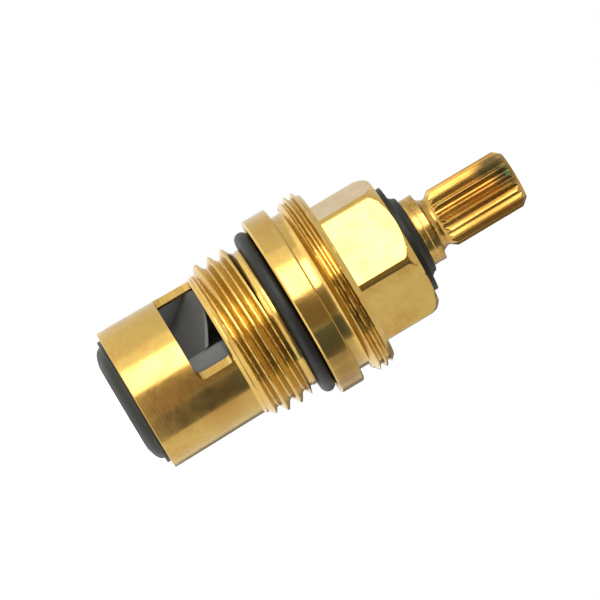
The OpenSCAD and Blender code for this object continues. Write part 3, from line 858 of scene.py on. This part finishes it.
# Floor, light and background
# A white studio table in a white room. A soft box gives the wide highlight along the brass. Two fill lamps,
# which don't show in metal, light the rubber and the plastic. Cards show in the brass as light and dark
# bands. The sizes and places of all these are in metres.
WHITE = (1.0, 1.0, 1.0, 1.0)
WHITE_ROOM = 1.0
ROOM_FILL = 0.5
FLOOR_SIZE = 6.0
FLOOR_LIFT = 0.57


def background_rays(tree):
    """One for the rays that see the white room: from the camera, in metal and through glass."""
    rays = add(tree, "ShaderNodeLightPath")
    seen = add(tree, "ShaderNodeMath", {0: rays.outputs["Is Camera Ray"], 1: rays.outputs["Is Glossy Ray"]},
               operation="ADD")
    seen = add(tree, "ShaderNodeMath", {0: seen.outputs[0], 1: rays.outputs["Is Transmission Ray"]},
               operation="ADD", use_clamp=True)
    return seen.outputs[0]


world = bpy.data.worlds.new("white_room")
bpy.context.scene.world = world
world.use_nodes = True
room = world.node_tree
room.nodes.clear()
level = add(room, "ShaderNodeMapRange", {
    "Value": background_rays(room), "To Min": ROOM_FILL, "To Max": WHITE_ROOM}).outputs[0]
room_light = add(room, "ShaderNodeBackground", {"Color": WHITE, "Strength": level})
add(room, "ShaderNodeOutputWorld", {"Surface": room_light.outputs[0]})


def flat_panel(name, width, height):
    """A flat rectangle in its own X-Y plane, in metres."""
    x, y = width / 2, height / 2
    return mesh_object(name, [(-x, -y, 0), (x, -y, 0), (x, y, 0), (-x, y, 0)], [(0, 1, 2, 3)])


floor = flat_panel("white_floor", FLOOR_SIZE, FLOOR_SIZE)
floor_paint, floor_tree, floor_output = new_material("white_table")
glow = add(floor_tree, "ShaderNodeMath", {0: background_rays(floor_tree), 1: FLOOR_LIFT},
           operation="MULTIPLY")
table_top = add(floor_tree, "ShaderNodeBsdfPrincipled", {
    "Base Color": linear("#f4f4f4"), "Roughness": 0.9, "Emission Color": WHITE,
    "Emission Strength": glow.outputs[0]})
floor_tree.links.new(table_top.outputs[0], floor_output.inputs["Surface"])
floor.data.materials.append(floor_paint)

MIDDLE = Vector((0.0, 0.0, 0.5 * (cad_box[0][2] + cad_box[1][2])))


def face_object(item, angle, distance):
    """Stands an item beside the object and turns it towards the object."""
    item.location = MIDDLE + from_view(angle) * distance
    item.rotation_euler = (item.location - MIDDLE).to_track_quat("Z", "Y").to_euler()


def soft_box(name, angle, distance, width, height, power, in_metal=True):
    """A rectangular studio lamp that faces the object, in metres and watts."""
    lamp = bpy.data.lights.new(name, "AREA")
    lamp.shape = "RECTANGLE"
    lamp.size = width
    lamp.size_y = height
    lamp.energy = power
    holder = bpy.data.objects.new(name, lamp)
    bpy.context.scene.collection.objects.link(holder)
    face_object(holder, angle, distance)
    holder.visible_glossy = in_metal


def card(name, angle, distance, width, height, colour, strength=1.0):
    """A card, in metres, that shows only as a reflection in the brass."""
    panel = flat_panel(name, width, height)
    face_object(panel, angle, distance)
    paint, tree, output = new_material(name + "_paint")
    matte = add(tree, "ShaderNodeEmission", {"Color": linear(colour), "Strength": strength})
    tree.links.new(matte.outputs[0], output.inputs["Surface"])
    panel.data.materials.append(paint)
    panel.visible_camera = False
    panel.visible_diffuse = False
    panel.visible_shadow = False


soft_box("key_soft_box", angle=26.5, distance=0.55, width=0.39, height=0.7, power=4.1)
soft_box("upper_fill", angle=62.0, distance=0.5, width=0.3, height=0.5, power=3.0, in_metal=False)
soft_box("lower_fill", angle=-19.0, distance=0.5, width=0.1, height=0.5, power=5.5, in_metal=False)
card("key_spill_card", angle=57.0, distance=0.6, width=0.24, height=1.0, colour="#ffffff", strength=1.5)
card("brown_card", angle=-14.0, distance=0.15, width=0.115, height=0.44, colour="#90826f")
card("olive_card", angle=-56.0, distance=0.15, width=0.109, height=0.44, colour="#646c76")
card("back_card", angle=-165.0, distance=0.3, width=0.2, height=1.0, colour="#8f8a80")

# Camera
# A long lens near table height, almost level with the part, and rolled so that the part's axis rises to the
# upper right of the picture.
PICTURE_PIXELS = 600.0
PIXELS_PER_MM = 8.246
ELEVATION = -2.0
AXIS_RISE = 30.8
CENTRE_Z = 25.1
CENTRE_UP = 0.28
SENSOR_WIDTH = 36.0

# Distance of the lens, and the nearest that it shows, in metres
DISTANCE = 0.6
NEAREST = 0.01

tilt = math.radians(ELEVATION)
rise = math.radians(AXIS_RISE)
towards = from_view(0.0) * math.cos(tilt) + Vector((0.0, 0.0, math.sin(tilt)))
across = from_view(90.0)
along = across.cross(towards)
right = along * math.cos(rise) - across * math.sin(rise)
up = along * math.sin(rise) + across * math.cos(rise)
aim = Vector((0.0, 0.0, CENTRE_Z * MM)) + across * CENTRE_UP * MM
lens = bpy.data.cameras.new("long_lens")
lens.sensor_width = SENSOR_WIDTH
lens.lens = SENSOR_WIDTH * DISTANCE / (PICTURE_PIXELS / PIXELS_PER_MM * MM)
lens.clip_start = NEAREST
lens.dof.use_dof = False
camera = bpy.data.objects.new("camera", lens)
bpy.context.scene.collection.objects.link(camera)
pose = Matrix((right, up, towards)).transposed().to_4x4()
pose.translation = aim + towards * DISTANCE
camera.matrix_world = pose
bpy.context.scene.camera = camera
bpy.context.scene.view_settings.view_transform = "Standard"
